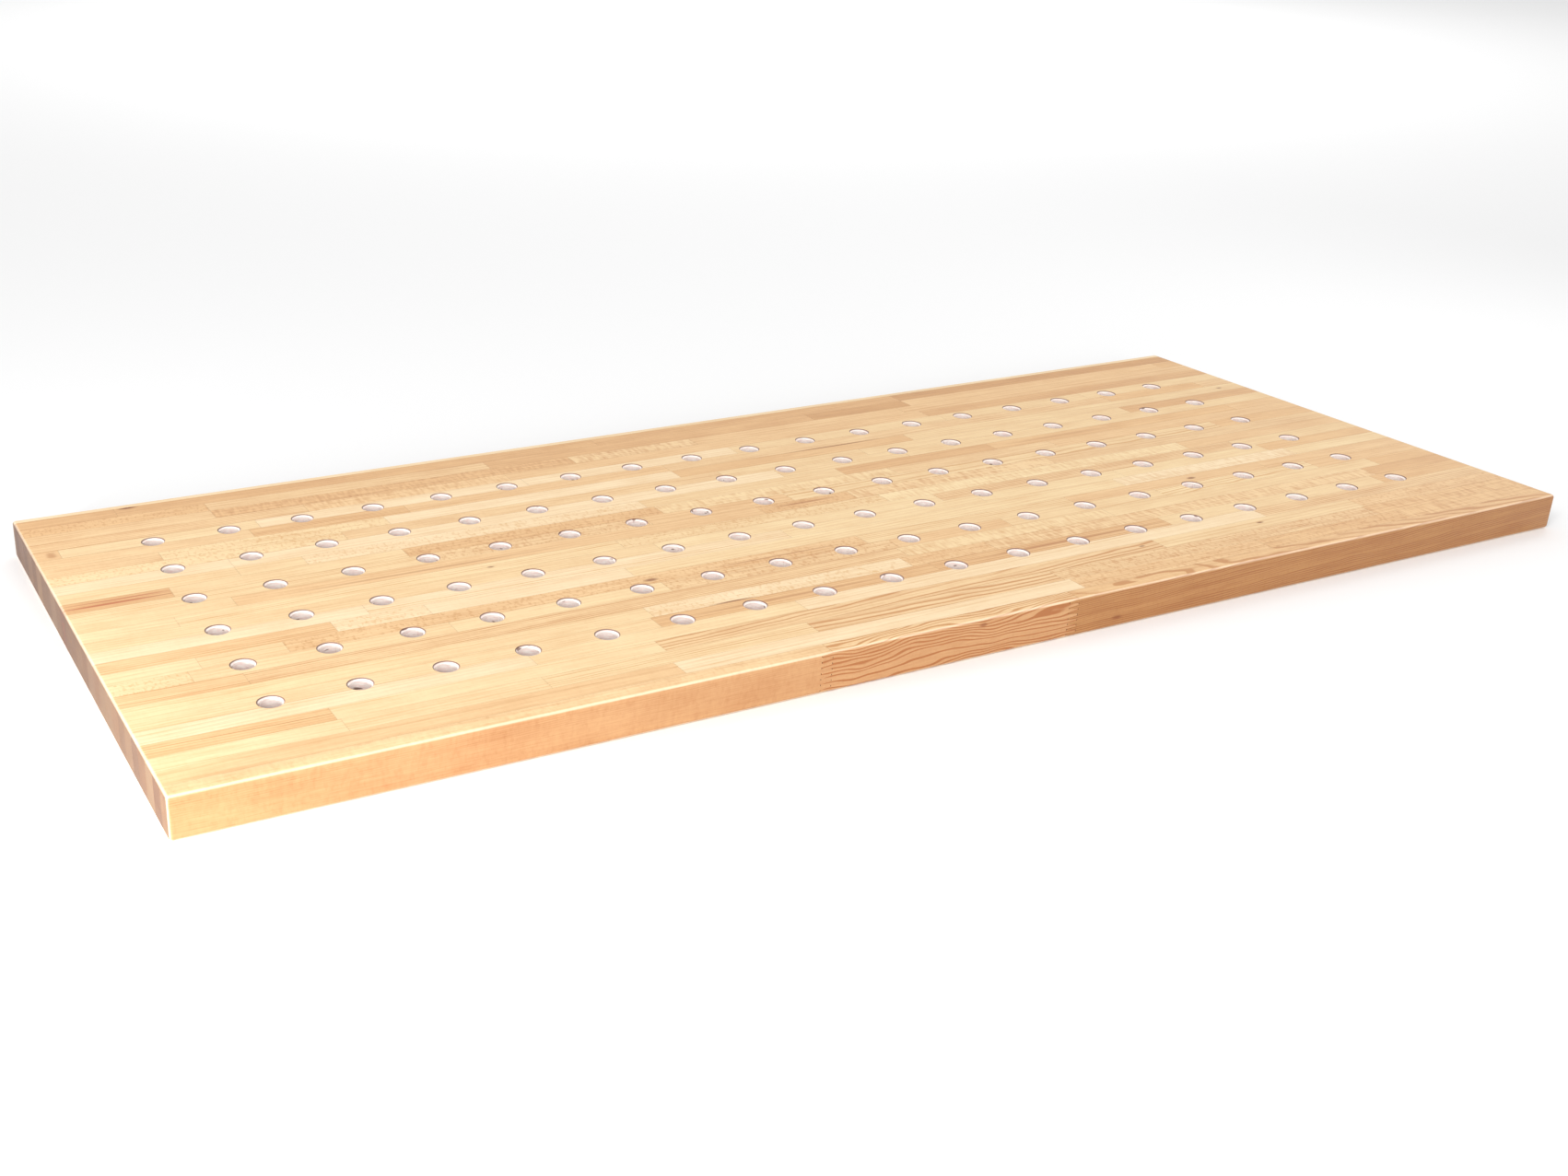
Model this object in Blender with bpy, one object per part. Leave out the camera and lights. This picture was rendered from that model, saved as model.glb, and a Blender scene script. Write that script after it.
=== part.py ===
"""Laminated hardwood bench top with a grid of through holes for bench dogs.

Hardwood strips run the length of the top, +X, and are glued edge to edge from the front, -Y, to the
back, +Y. Each strip is made of lengths that meet end to end in finger joints. The holes are bored through
the glued panel, so most of them cross a glue line and lie half in one strip and half in the next. The
outer edges are eased last. Metres, +Z up, with the origin under the middle of the underside.
"""

import bmesh
import bpy

MM = 0.001
INCH = 0.0254

# The glued panel
LENGTH = 60 * INCH
DEPTH = 24 * INCH
THICKNESS = 1.5 * INCH
EDGE_EASING = 3 * MM
EASING_SEGMENTS = 2

# The strips, counted from the front. The panel is sawn to depth, which leaves its two outer strips narrow.
STRIP_WIDTH = 22.4 * MM
FRONT_STRIP_WIDTH = 17.4 * MM
GLUE_GAP = 0.3 * MM

# The holes for bench dogs
HOLE_DIAMETER = 0.75 * INCH
HOLE_PITCH = 3 * INCH
HOLE_COLUMNS = 18
HOLE_ROWS = 6
HOLE_SIDES = 16
CUTTER_OVERRUN = 5 * MM

# The finger joints
FINGER_COUNT = 7
FINGER_LENGTH = 11 * MM
FINGER_TIP_GAP = 1.2 * MM

# The finish: one species of hardwood, from cream sapwood to brown heartwood, sanded and bare
CREAM = "F6DDAE"
HONEY = "EFCD98"
TAN = "E2B683"
ROSE = "D9A574"
BROWN = "C48D5C"
WOOD_ROUGHNESS = 0.45

# Each strip's lengths from left to right, one row for each strip from the front: the inches from the left
# end of the top at which the length stops, and its colour
STRIPS = (
    ((22.6, HONEY), (33.4, HONEY), (60, ROSE)),
    ((17.25, ROSE), (60, TAN)),
    ((60, HONEY),),
    ((17.5, CREAM), (60, TAN)),
    ((60, CREAM),),
    ((18.3, HONEY), (30.4, ROSE), (42.0, ROSE), (54.3, HONEY), (60, ROSE)),
    ((29.7, HONEY), (60, TAN)),
    ((60, HONEY),),
    ((11.7, HONEY), (20.2, CREAM), (30.4, TAN), (36.0, TAN), (44.3, HONEY), (53.2, CREAM), (60, TAN)),
    ((29.5, TAN), (60, TAN)),
    ((19.6, CREAM), (60, HONEY)),
    ((27.1, CREAM), (60, HONEY)),
    ((35.2, HONEY), (60, TAN)),
    ((60, HONEY),),
    ((32.1, TAN), (60, HONEY)),
    ((29.5, HONEY), (53.6, HONEY), (60, TAN)),
    ((12.7, CREAM), (60, TAN)),
    ((33.3, CREAM), (60, BROWN)),
    ((30.7, CREAM), (60, HONEY)),
    ((51.2, HONEY), (60, BROWN)),
    ((38.9, HONEY), (60, HONEY)),
    ((60, TAN),),
    ((8.5, CREAM), (20.2, CREAM), (30.5, CREAM), (42.2, HONEY), (50.9, HONEY), (60, TAN)),
    ((60, TAN),),
    ((60, TAN),),
    ((60, BROWN),),
    ((60, BROWN),),
    ((60, HONEY),),
)


def clear_scene():
    """Remove every object the scene starts with."""
    for obj in list(bpy.data.objects):
        bpy.data.objects.remove(obj, do_unlink=True)


def linear(hex_colour):
    """The linear colour of an sRGB hex colour."""
    parts = [int(hex_colour[i : i + 2], 16) / 255 for i in (0, 2, 4)]
    return [part / 12.92 if part <= 0.04045 else ((part + 0.055) / 1.055) ** 2.4 for part in parts]


def wood_material(name, hex_colour):
    """A hardwood finish of one colour."""
    material = bpy.data.materials.new(name)
    material.use_nodes = True
    shader = material.node_tree.nodes["Principled BSDF"]
    shader.inputs["Base Color"].default_value = (*linear(hex_colour), 1)
    shader.inputs["Roughness"].default_value = WOOD_ROUGHNESS
    shader.inputs["Metallic"].default_value = 0
    return material


def object_from(name, bm):
    """A linked mesh object made from a bmesh."""
    bmesh.ops.recalc_face_normals(bm, faces=bm.faces)
    mesh = bpy.data.meshes.new(name)
    bm.to_mesh(mesh)
    bm.free()
    obj = bpy.data.objects.new(name, mesh)
    bpy.context.scene.collection.objects.link(obj)
    return obj


def as_cutter(obj):
    """Keep an object out of the model, as a shape that others are cut by."""
    obj.hide_render = True
    obj.display_type = "WIRE"
    return obj


def hole_row_cutter(row):
    """One object of solid bars, one through each hole of a row."""
    bm = bmesh.new()
    y = (row - (HOLE_ROWS - 1) / 2) * HOLE_PITCH
    bar_length = THICKNESS + 2 * CUTTER_OVERRUN
    for column in range(HOLE_COLUMNS):
        made = bmesh.ops.create_cone(
            bm,
            cap_ends=True,
            segments=HOLE_SIDES,
            radius1=HOLE_DIAMETER / 2,
            radius2=HOLE_DIAMETER / 2,
            depth=bar_length,
        )
        x = (column - (HOLE_COLUMNS - 1) / 2) * HOLE_PITCH
        bmesh.ops.translate(bm, verts=made["verts"], vec=(x, y, THICKNESS / 2))
    return as_cutter(object_from(f"hole_row_{row + 1}_cutter", bm))


def eased_envelope():
    """The whole panel's outer shape, with its edges and its upright corners eased."""
    bm = bmesh.new()
    bmesh.ops.create_cube(bm, size=1)
    bmesh.ops.scale(bm, verts=bm.verts, vec=(LENGTH, DEPTH, THICKNESS))
    bmesh.ops.translate(bm, verts=bm.verts, vec=(0, 0, THICKNESS / 2))
    bmesh.ops.bevel(
        bm,
        geom=bm.edges[:],
        offset=EDGE_EASING,
        segments=EASING_SEGMENTS,
        profile=0.5,
        affect="EDGES",
    )
    return as_cutter(object_from("eased_envelope", bm))


def finger_line(x, shift):
    """Points (x, z) up a finger joint at x, moved along by shift, from the underside to the top."""
    step = THICKNESS / (2 * FINGER_COUNT)
    reach = (0, FINGER_LENGTH)
    return [(x + shift + reach[i % 2], i * step) for i in range(2 * FINGER_COUNT + 1)]


def square_line(x):
    """Points (x, z) up a square sawn end at x."""
    return [(x, 0), (x, THICKNESS)]


def strip_length(name, x_lines, y_range):
    """A length of strip between two end lines, as deep across as y_range."""
    left, right = x_lines
    outline = right + left[::-1]
    bm = bmesh.new()
    front = [bm.verts.new((x, y_range[0], z)) for x, z in outline]
    face = bm.faces.new(front)
    made = bmesh.ops.extrude_face_region(bm, geom=[face])
    moved = [item for item in made["geom"] if isinstance(item, bmesh.types.BMVert)]
    bmesh.ops.translate(bm, verts=moved, vec=(0, y_range[1] - y_range[0], 0))
    return object_from(name, bm)


def strip_edges(strip):
    """The front and back Y of a strip, without its share of the glue lines."""
    line = -DEPTH / 2 + FRONT_STRIP_WIDTH + (strip - 1) * STRIP_WIDTH
    front = -DEPTH / 2 if strip == 0 else line + GLUE_GAP / 2
    back = DEPTH / 2 if strip == len(STRIPS) - 1 else line + STRIP_WIDTH - GLUE_GAP / 2
    return front, back


def strip_name(strip):
    """A strip's name, by its place from the front."""
    if strip == 0:
        return "front_strip"
    if strip == len(STRIPS) - 1:
        return "back_strip"
    return f"strip_{strip + 1:02d}"


def length_name(strip, number):
    """The name of one of a strip's lengths, which are numbered from the left if there are several."""
    if len(STRIPS[strip]) == 1:
        return strip_name(strip)
    return f"{strip_name(strip)}_length_{number}"


def end_lines(strip):
    """Pairs of end lines, one pair for each length of a strip from left to right."""
    lines = [square_line(-LENGTH / 2)]
    for inches, _ in STRIPS[strip][:-1]:
        x = -LENGTH / 2 + inches * INCH - FINGER_LENGTH / 2
        lines.append(finger_line(x, -FINGER_TIP_GAP / 2))
        lines.append(finger_line(x, FINGER_TIP_GAP / 2))
    lines.append(square_line(LENGTH / 2))
    return list(zip(lines[0::2], lines[1::2]))


def rows_crossing(y_range):
    """The hole rows whose bores reach into a strip."""
    rows = []
    for row in range(HOLE_ROWS):
        y = (row - (HOLE_ROWS - 1) / 2) * HOLE_PITCH
        if y + HOLE_DIAMETER / 2 > y_range[0] and y - HOLE_DIAMETER / 2 < y_range[1]:
            rows.append(row)
    return rows


def cut(obj, operation, other):
    """Add an exact Boolean to an object."""
    modifier = obj.modifiers.new(operation.title() + " " + other.name, "BOOLEAN")
    modifier.operation = operation
    modifier.solver = "EXACT"
    modifier.object = other


def build():
    """Make every length of every strip, ease the panel's edges and bore its holes."""
    clear_scene()
    envelope = eased_envelope()
    row_cutters = [hole_row_cutter(row) for row in range(HOLE_ROWS)]
    panel = bpy.data.objects.new("bench_top", None)
    bpy.context.scene.collection.objects.link(panel)
    for strip, lengths in enumerate(STRIPS):
        y_range = strip_edges(strip)
        for number, (x_lines, (_, colour)) in enumerate(zip(end_lines(strip), lengths), start=1):
            name = length_name(strip, number)
            obj = strip_length(name, x_lines, y_range)
            obj.parent = panel
            obj.data.materials.append(wood_material(name, colour))
            cut(obj, "INTERSECT", envelope)
            for row in rows_crossing(y_range):
                cut(obj, "DIFFERENCE", row_cutters[row])


build()
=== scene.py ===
"""Laminated maple bench top bored for bench dogs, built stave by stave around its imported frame.

The frame gives every strip and every length of strip. Each length is made here of the staves that the real
one has, which meet end to end in finger joints. Each stave is sawn as a blank, eased where it lies on the
outside of the top, and bored by a Geometry Nodes tree. Its grain is read from a log: growth rings round a
pith that lies beside the stave, so that the top, the front edge and the end grain all show the same rings.
"""

import logging
import math
import random
from dataclasses import dataclass
from enum import Enum
from functools import partial
from typing import Any, Iterable, Optional

import bmesh
import bpy
from mathutils import Matrix, Vector


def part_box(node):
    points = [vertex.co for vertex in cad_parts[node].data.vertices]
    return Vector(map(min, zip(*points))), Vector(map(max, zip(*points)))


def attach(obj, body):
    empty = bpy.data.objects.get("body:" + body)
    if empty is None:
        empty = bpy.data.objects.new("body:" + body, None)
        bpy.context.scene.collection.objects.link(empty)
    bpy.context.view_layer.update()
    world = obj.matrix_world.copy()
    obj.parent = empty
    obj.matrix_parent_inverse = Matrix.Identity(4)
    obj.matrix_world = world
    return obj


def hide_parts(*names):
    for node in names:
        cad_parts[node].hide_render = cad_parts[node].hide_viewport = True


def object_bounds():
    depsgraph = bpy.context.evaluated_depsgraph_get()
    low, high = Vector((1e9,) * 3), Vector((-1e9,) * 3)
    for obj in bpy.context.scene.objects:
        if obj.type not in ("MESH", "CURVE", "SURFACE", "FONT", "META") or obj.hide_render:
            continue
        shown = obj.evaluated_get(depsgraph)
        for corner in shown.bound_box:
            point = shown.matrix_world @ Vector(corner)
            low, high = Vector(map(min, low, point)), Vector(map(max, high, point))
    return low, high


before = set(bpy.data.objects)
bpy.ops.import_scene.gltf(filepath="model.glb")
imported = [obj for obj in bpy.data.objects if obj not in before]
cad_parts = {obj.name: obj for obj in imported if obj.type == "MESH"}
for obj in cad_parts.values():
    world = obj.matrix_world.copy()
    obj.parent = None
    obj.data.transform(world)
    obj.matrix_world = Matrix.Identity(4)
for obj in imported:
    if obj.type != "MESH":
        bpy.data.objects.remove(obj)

CAD_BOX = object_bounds()
LOG = logging.getLogger("bench_top")

MM = 0.001
INCH = 0.0254
FAR = 10.0  # well outside the panel

# What the attributes of a stave's two marks start with
MARK_NAMES = ("first_mark", "second_mark")


class Tone(Enum):
    """The staves' colours, from the palest sapwood to dark heartwood."""

    PALE = "pale"
    CREAM = "cream"
    HONEY = "honey"
    STRAW = "straw"
    TAN = "tan"
    AMBER = "amber"
    BROWN = "brown"
    UMBER = "umber"


class Sawn(Enum):
    """How a stave was sawn from its log, and so what its top shows."""

    QUIET = "quiet"  # rift sawn from even wood, with faint straight lines
    LINED = "lined"  # quarter sawn, with clear straight growth rings
    ARCHED = "arched"  # flat sawn, with wavy arches
    FLECKED = "flecked"  # quarter sawn through the rays, which show as short marks across it
    RIPPLED = "rippled"  # curly wood, with bands across it


P, C, H, S, T, A, B, U = Tone
QUIET, LINED, ARCHED, FLECKED, RIPPLED = Sawn

# Each strip's staves from left to right, one row for each strip from the front: the inches from the left end
# at which the stave stops, its tone and how it was sawn
STRIPS = (
    ((22.6, S, QUIET), (33.4, S, ARCHED), (60, A, LINED)),
    ((17.25, T, QUIET), (34.5, P, QUIET), (44, T, FLECKED), (52, A, FLECKED), (60, A, RIPPLED)),
    (
        (6.1, C, QUIET), (13, H, QUIET), (23.3, H, LINED),
        (34.3, S, ARCHED), (51, S, FLECKED), (60, A, RIPPLED),
    ),
    ((6, A, LINED), (17.5, C, QUIET), (40.2, S, ARCHED), (51.2, H, QUIET), (60, T, FLECKED)),
    ((13.3, P, QUIET), (24, C, QUIET), (46.5, P, QUIET), (60, S, LINED)),
    ((18.3, H, QUIET), (30.4, A, LINED), (42, A, LINED), (54.3, H, QUIET), (60, A, QUIET)),
    ((18.7, H, QUIET), (29.7, P, FLECKED), (34, T, FLECKED), (55, S, RIPPLED), (60, B, QUIET)),
    ((4.3, T, LINED), (30.4, S, LINED), (40.8, H, RIPPLED), (56.3, H, QUIET), (60, A, QUIET)),
    (
        (2.7, C, FLECKED), (11.7, H, QUIET), (20.2, C, QUIET), (30.4, S, FLECKED), (36, T, QUIET),
        (44.3, H, QUIET), (53.2, C, ARCHED), (60, T, QUIET),
    ),
    (
        (3.2, C, QUIET), (6.2, H, QUIET), (29.5, T, FLECKED),
        (40.3, H, LINED), (51.3, T, QUIET), (60, T, QUIET),
    ),
    (
        (8.2, T, LINED), (11.7, P, FLECKED), (19.6, P, QUIET),
        (43.8, C, QUIET), (54, P, RIPPLED), (60, C, QUIET),
    ),
    ((9.7, P, QUIET), (27.1, P, LINED), (37, C, QUIET), (44.6, C, QUIET), (53.2, C, QUIET), (60, A, QUIET)),
    ((22, H, QUIET), (35.2, C, QUIET), (52.4, S, LINED), (60, H, QUIET)),
    ((3.4, C, QUIET), (20.8, C, LINED), (33.3, H, FLECKED), (50, C, RIPPLED), (60, T, QUIET)),
    ((5.7, H, QUIET), (27.8, T, QUIET), (32.1, A, FLECKED), (43, S, RIPPLED), (60, S, QUIET)),
    ((13.5, H, LINED), (23, S, FLECKED), (29.5, T, QUIET), (53.6, H, ARCHED), (60, A, QUIET)),
    (
        (3.9, B, LINED), (12.7, H, QUIET), (24, A, FLECKED),
        (35.7, H, RIPPLED), (44.7, S, QUIET), (60, T, QUIET),
    ),
    (
        (6.6, H, QUIET), (9.2, H, QUIET), (23.7, P, FLECKED), (33.3, H, QUIET), (41.8, B, QUIET),
        (56.6, A, QUIET), (60, T, QUIET),
    ),
    ((6.6, P, QUIET), (30.7, P, QUIET), (37.6, H, QUIET), (60, H, QUIET)),
    ((11.4, C, FLECKED), (28.6, S, QUIET), (36, H, LINED), (51.2, H, QUIET), (60, B, QUIET)),
    ((4.4, S, QUIET), (13.5, C, FLECKED), (26.8, P, QUIET), (38.9, A, QUIET), (60, H, QUIET)),
    ((8.2, S, QUIET), (14.7, A, LINED), (26.8, T, QUIET), (51.8, S, QUIET), (58, A, QUIET), (60, S, QUIET)),
    (
        (1, T, QUIET), (8.5, C, QUIET), (20.2, P, QUIET), (30.5, P, QUIET), (42.2, H, QUIET),
        (50.9, H, QUIET), (60, H, QUIET),
    ),
    ((11, S, LINED), (20, T, RIPPLED), (42, T, QUIET), (60, B, QUIET)),
    ((7.4, S, QUIET), (23.5, B, RIPPLED), (29.7, S, RIPPLED), (41.3, T, QUIET), (60, T, QUIET)),
    (
        (7.4, A, FLECKED), (19.8, S, QUIET), (36.6, B, QUIET),
        (42.2, U, QUIET), (58.5, T, QUIET), (60, A, QUIET),
    ),
    ((3.9, B, QUIET), (25.5, B, QUIET), (42.2, B, QUIET), (60, U, QUIET)),
    # The back strip is pale as a painted highlight along the panel's back edge
    ((60, P, QUIET),),
)


def linear(hex_colour: str) -> tuple[float, float, float, float]:
    """Turn an sRGB hex colour into linear light.

    Args:
        hex_colour: Six hex digits, such as "F6DDAE".

    Returns:
        Red, green and blue from 0 to 1, and full opacity.
    """
    parts = [int(hex_colour[i : i + 2], 16) / 255 for i in (0, 2, 4)]
    r, g, b = (v / 12.92 if v <= 0.04045 else ((v + 0.055) / 1.055) ** 2.4 for v in parts)
    return r, g, b, 1.0


def add_node(
    tree: bpy.types.NodeTree, kind: str, links: Optional[dict] = None, **settings: Any
) -> bpy.types.Node:
    """Add a node with its settings and links.

    Args:
        tree: The node tree it joins.
        kind: The node's type name.
        links: For each input, by name or number, an output socket to link or a plain value to set.
        settings: The node's own properties.

    Returns:
        The new node.
    """
    node = tree.nodes.new(kind)
    for name, value in settings.items():
        setattr(node, name, value)
    for key, value in (links or {}).items():
        if isinstance(value, bpy.types.NodeSocket):
            tree.links.new(value, node.inputs[key])
        else:
            node.inputs[key].default_value = value
    return node


Socket = bpy.types.NodeSocket


@dataclass(frozen=True)
class Maple:
    """Hard maple, planed, sanded and left bare: satin, with fine grain that darkens at each growth ring."""

    tone: Tone
    face: str  # the wood's colour between the rings
    late: str  # the denser wood that closes each ring
    slot: str
    # End grain's darker colour, made darker still as painted shade on the panel's ends
    end_grain_and_shade: str = "624738"
    # Painted shade on the faces that face front and back
    painted_side_shade: str = "D2BBAC"
    # Painted highlight on the eased edges
    eased: str = "FFF0DE"
    glue: str = "8A5A33"
    side_line: float = 0.5 * MM
    joint_line: float = 0.7 * MM


class Grain:
    """One wood's material, which reads each stave's log, figure and blemishes from its attributes."""

    def __init__(self, maple: Maple) -> None:
        """Make the material.

        Args:
            maple: The wood.
        """
        self.maple = maple
        self.made = bpy.data.materials.new(f"sanded_maple_{maple.tone.value}")
        self.made.use_nodes = True
        tree = self.made.node_tree
        self.node = node = partial(add_node, tree)
        places = node("ShaderNodeTexCoord").outputs
        self.place = places["Object"]
        self.facing = node("ShaderNodeVectorMath", {0: places["Normal"]}, operation="ABSOLUTE").outputs[0]
        self.read = {
            name: node("ShaderNodeAttribute", attribute_name=name).outputs["Vector"]
            for name in ("pith", "lean", "rings", "figure", "seed", "sides", "ends")
        }
        grain, radius = self.place_in_log()
        noise = self.noises(grain)
        rings = self.rings(radius, noise["waver"])
        dark = self.darkness(rings, noise)
        wood = node(
            "ShaderNodeMix", {"Factor": dark, 6: linear(maple.face), 7: linear(maple.late)}, data_type="RGBA"
        ).outputs[2]
        wood = self.glued(self.marked(self.tinted(wood), noise["streak"]))
        gloss = node("ShaderNodeMapRange", {0: dark, 3: 0.5, 4: 0.38}).outputs[0]
        height = node("ShaderNodeMath", {0: noise["fibre"], 1: rings}, operation="ADD").outputs[0]
        bump = node("ShaderNodeBump", {"Height": height, "Strength": 0.12, "Distance": 0.2 * MM}).outputs[0]
        shader = tree.nodes["Principled BSDF"]
        tree.links.new(wood, shader.inputs["Base Color"])
        tree.links.new(gloss, shader.inputs["Roughness"])
        tree.links.new(bump, shader.inputs["Normal"])
        shader.inputs["IOR"].default_value = 1.5

    def place_in_log(self) -> tuple[Socket, Socket]:
        """Work out where each point of the stave lay in its log.

        Returns:
            The point as seen from the pith, and its distance from it.
        """
        node, read = self.node, self.read
        out = node("ShaderNodeVectorMath", {0: self.place, 1: read["pith"]}, operation="SUBTRACT").outputs[0]
        along = node("ShaderNodeSeparateXYZ", {0: out}).outputs[0]
        drift = node("ShaderNodeVectorMath", {0: read["lean"], "Scale": along}, operation="SCALE").outputs[0]
        grain = node("ShaderNodeVectorMath", {0: out, 1: drift}, operation="SUBTRACT").outputs[0]
        radial = node("ShaderNodeVectorMath", {0: grain, 1: (0, 1, 1)}, operation="MULTIPLY").outputs[0]
        radius = node("ShaderNodeVectorMath", {0: radial}, operation="LENGTH").outputs["Value"]
        return grain, radius

    def noises(self, grain: Socket) -> dict[str, Socket]:
        """Draw the noise that the figure is made of, stretched along the grain.

        Args:
            grain: The point as seen from the pith.

        Returns:
            Each noise by name, with its middle at zero.
        """
        node, seed, noise = self.node, self.read["seed"], {}
        # Each row is named for what it draws, with its scale along, across and up in cycles a metre, from
        # real sizes in millimetres
        for name, source, scale, detail in (
            ("waver", self.place, (9, 30, 30), 2),  # slow bends of the rings, 110 mm long
            ("streak", grain, (11, 300, 300), 3),  # streaks 3 mm wide and 90 mm long
            ("fibre", grain, (55, 1250, 1250), 2),  # fibres 0.8 mm wide, coarser than real ones, to show
            ("blotch", self.place, (16, 45, 45), 1),  # soft clouds 60 mm long
            ("ray", grain, (330, 190, 190), 1),  # ray fleck, 3 mm along and 5 mm across
            ("curl", self.place, (260, 70, 70), 1),  # broken bands of curly figure 4 mm apart
        ):
            scaled = node("ShaderNodeVectorMath", {0: source, 1: scale, 2: seed}, operation="MULTIPLY_ADD")
            drawn = node("ShaderNodeTexNoise", {"Vector": scaled.outputs[0], "Scale": 1.0, "Detail": detail})
            centred = node("ShaderNodeMath", {0: drawn.outputs["Fac"], 1: 0.5}, operation="SUBTRACT")
            noise[name] = centred.outputs[0]
        return noise

    def rings(self, radius: Socket, bend: Socket) -> Socket:
        """Draw the growth rings: a slow darkening that ends sharply, each ring of its own strength.

        Args:
            radius: The distance from the pith.
            bend: The noise that bends the rings.

        Returns:
            How dark the rings make the wood.
        """
        node = self.node
        spacing, waver, strength = node("ShaderNodeSeparateXYZ", {0: self.read["rings"]}).outputs
        bent = node("ShaderNodeMath", {0: bend, 1: waver, 2: radius}, operation="MULTIPLY_ADD").outputs[0]
        turn = node("ShaderNodeMath", {0: bent, 1: spacing}, operation="DIVIDE").outputs[0]
        part = node("ShaderNodeMath", {0: turn}, operation="FRACT").outputs[0]
        number = node("ShaderNodeMath", {0: turn}, operation="FLOOR").outputs[0]
        chance = node("ShaderNodeTexWhiteNoise", {"W": number}, noise_dimensions="1D").outputs["Value"]
        rise = node(
            "ShaderNodeMapRange", {0: part, 1: 0.45, 2: 0.9}, interpolation_type="SMOOTHSTEP"
        ).outputs[0]
        ring = node("ShaderNodeMapRange", {0: part, 1: 0.92, 2: 1.0, 3: 1.0, 4: 0.0}).outputs[0]
        for share in (rise, chance, strength):
            ring = node("ShaderNodeMath", {0: ring, 1: share}, operation="MULTIPLY").outputs[0]
        return ring

    def darkness(self, rings: Socket, noise: dict[str, Socket]) -> Socket:
        """Add the streaks, fibres, clouds, ray fleck and curl to the rings.

        Args:
            rings: How dark the rings are.
            noise: The noises, of which the ray's high places show as fleck.

        Returns:
            How dark the wood is, from 0 for the palest to 1 for latewood.
        """
        node, dark = self.node, rings
        ray, curl, contrast = node("ShaderNodeSeparateXYZ", {0: self.read["figure"]}).outputs
        fleck = node("ShaderNodeMapRange", {0: noise["ray"], 1: 0.02, 2: 0.16, 4: 0.75}).outputs[0]
        for value, amount in (
            (noise["streak"], contrast),
            (noise["fibre"], 0.6),
            (noise["blotch"], 0.5),
            (fleck, ray),
            (noise["curl"], curl),
        ):
            dark = node("ShaderNodeMath", {0: value, 1: amount, 2: dark}, operation="MULTIPLY_ADD").outputs[0]
        return node("ShaderNodeMath", {0: dark, 1: 0.2}, operation="ADD", use_clamp=True).outputs[0]

    def tinted(self, wood: Socket) -> Socket:
        """Tint the wood by the way a face faces.

        End grain is darker, in some staves more than in others, and its tint is also painted shade on the
        panel's ends. The faces that face front and back get painted shade, and the eased edges get a painted
        highlight.

        Args:
            wood: The colour so far.

        Returns:
            The tinted colour.
        """
        node, seed = self.node, self.read["seed"]
        facing_x, facing_y, _ = node("ShaderNodeSeparateXYZ", {0: self.facing}).outputs
        chance = node("ShaderNodeTexWhiteNoise", {"Vector": seed}, noise_dimensions="3D").outputs["Value"]
        end_tint_by_stave = node("ShaderNodeMapRange", {0: chance, 3: 0.85, 4: 1.0}).outputs[0]
        # End grain is darker, and this tint is also painted shade on the panel's ends; some staves get more
        # of it
        end = node("ShaderNodeMapRange", {0: facing_x, 1: 0.3, 2: 0.95, 4: end_tint_by_stave}).outputs[0]
        # Painted shade on the faces that face front and back
        side = node("ShaderNodeMapRange", {0: facing_y, 1: 0.6, 2: 0.95}).outputs[0]
        # Painted highlight on the eased edges, the faces that lean between the top and the sides
        turned = node("ShaderNodeMath", {0: facing_x, 1: facing_y}, operation="MAXIMUM").outputs[0]
        leaning = node("ShaderNodeMapRange", {0: turned, 1: 0.12, 2: 0.4, 4: 0.3}).outputs[0]
        slanted = node("ShaderNodeMapRange", {0: turned, 1: 0.75, 2: 0.95, 3: 1.0, 4: 0.0}).outputs[0]
        eased = node("ShaderNodeMath", {0: leaning, 1: slanted}, operation="MULTIPLY").outputs[0]
        # Mix in the end grain with its painted shade, the painted shade on the front and back faces and the
        # painted highlight on the eased edges
        for share, colour, blend in (
            (end, self.maple.end_grain_and_shade, "MULTIPLY"),
            (side, self.maple.painted_side_shade, "MULTIPLY"),
            (eased, self.maple.eased, "MIX"),
        ):
            mixed = {"Factor": share, 6: wood, 7: linear(colour)}
            wood = node("ShaderNodeMix", mixed, data_type="RGBA", blend_type=blend).outputs[2]
        return wood

    def marked(self, wood: Socket, streak: Socket) -> Socket:
        """Add the stave's knots, pitch marks and streaks of stain.

        Args:
            wood: The colour so far.
            streak: The noise that roughens a mark's outline.

        Returns:
            The marked colour.
        """
        node = self.node
        for mark in MARK_NAMES:
            middle, reach, colour, strength = (
                node("ShaderNodeAttribute", attribute_name=f"{mark}_{part}").outputs[kind]
                for part, kind in (
                    ("middle", "Vector"), ("reach", "Vector"), ("colour", "Color"), ("strength", "Fac"),
                )
            )
            off = node("ShaderNodeVectorMath", {0: self.place, 1: middle}, operation="SUBTRACT").outputs[0]
            share = node("ShaderNodeVectorMath", {0: off, 1: reach}, operation="MULTIPLY").outputs[0]
            far = node("ShaderNodeVectorMath", {0: share}, operation="LENGTH").outputs["Value"]
            rough = node("ShaderNodeMath", {0: streak, 1: 1.1, 2: far}, operation="MULTIPLY_ADD").outputs[0]
            core = node(
                "ShaderNodeMapRange", {0: rough, 1: 0.25, 3: 1.0, 4: 0.0}, interpolation_type="SMOOTHSTEP"
            ).outputs[0]
            stained = node("ShaderNodeMath", {0: core, 1: strength}, operation="MULTIPLY").outputs[0]
            wood = node("ShaderNodeMix", {"Factor": stained, 6: wood, 7: colour}, data_type="RGBA").outputs[2]
        return wood

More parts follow.
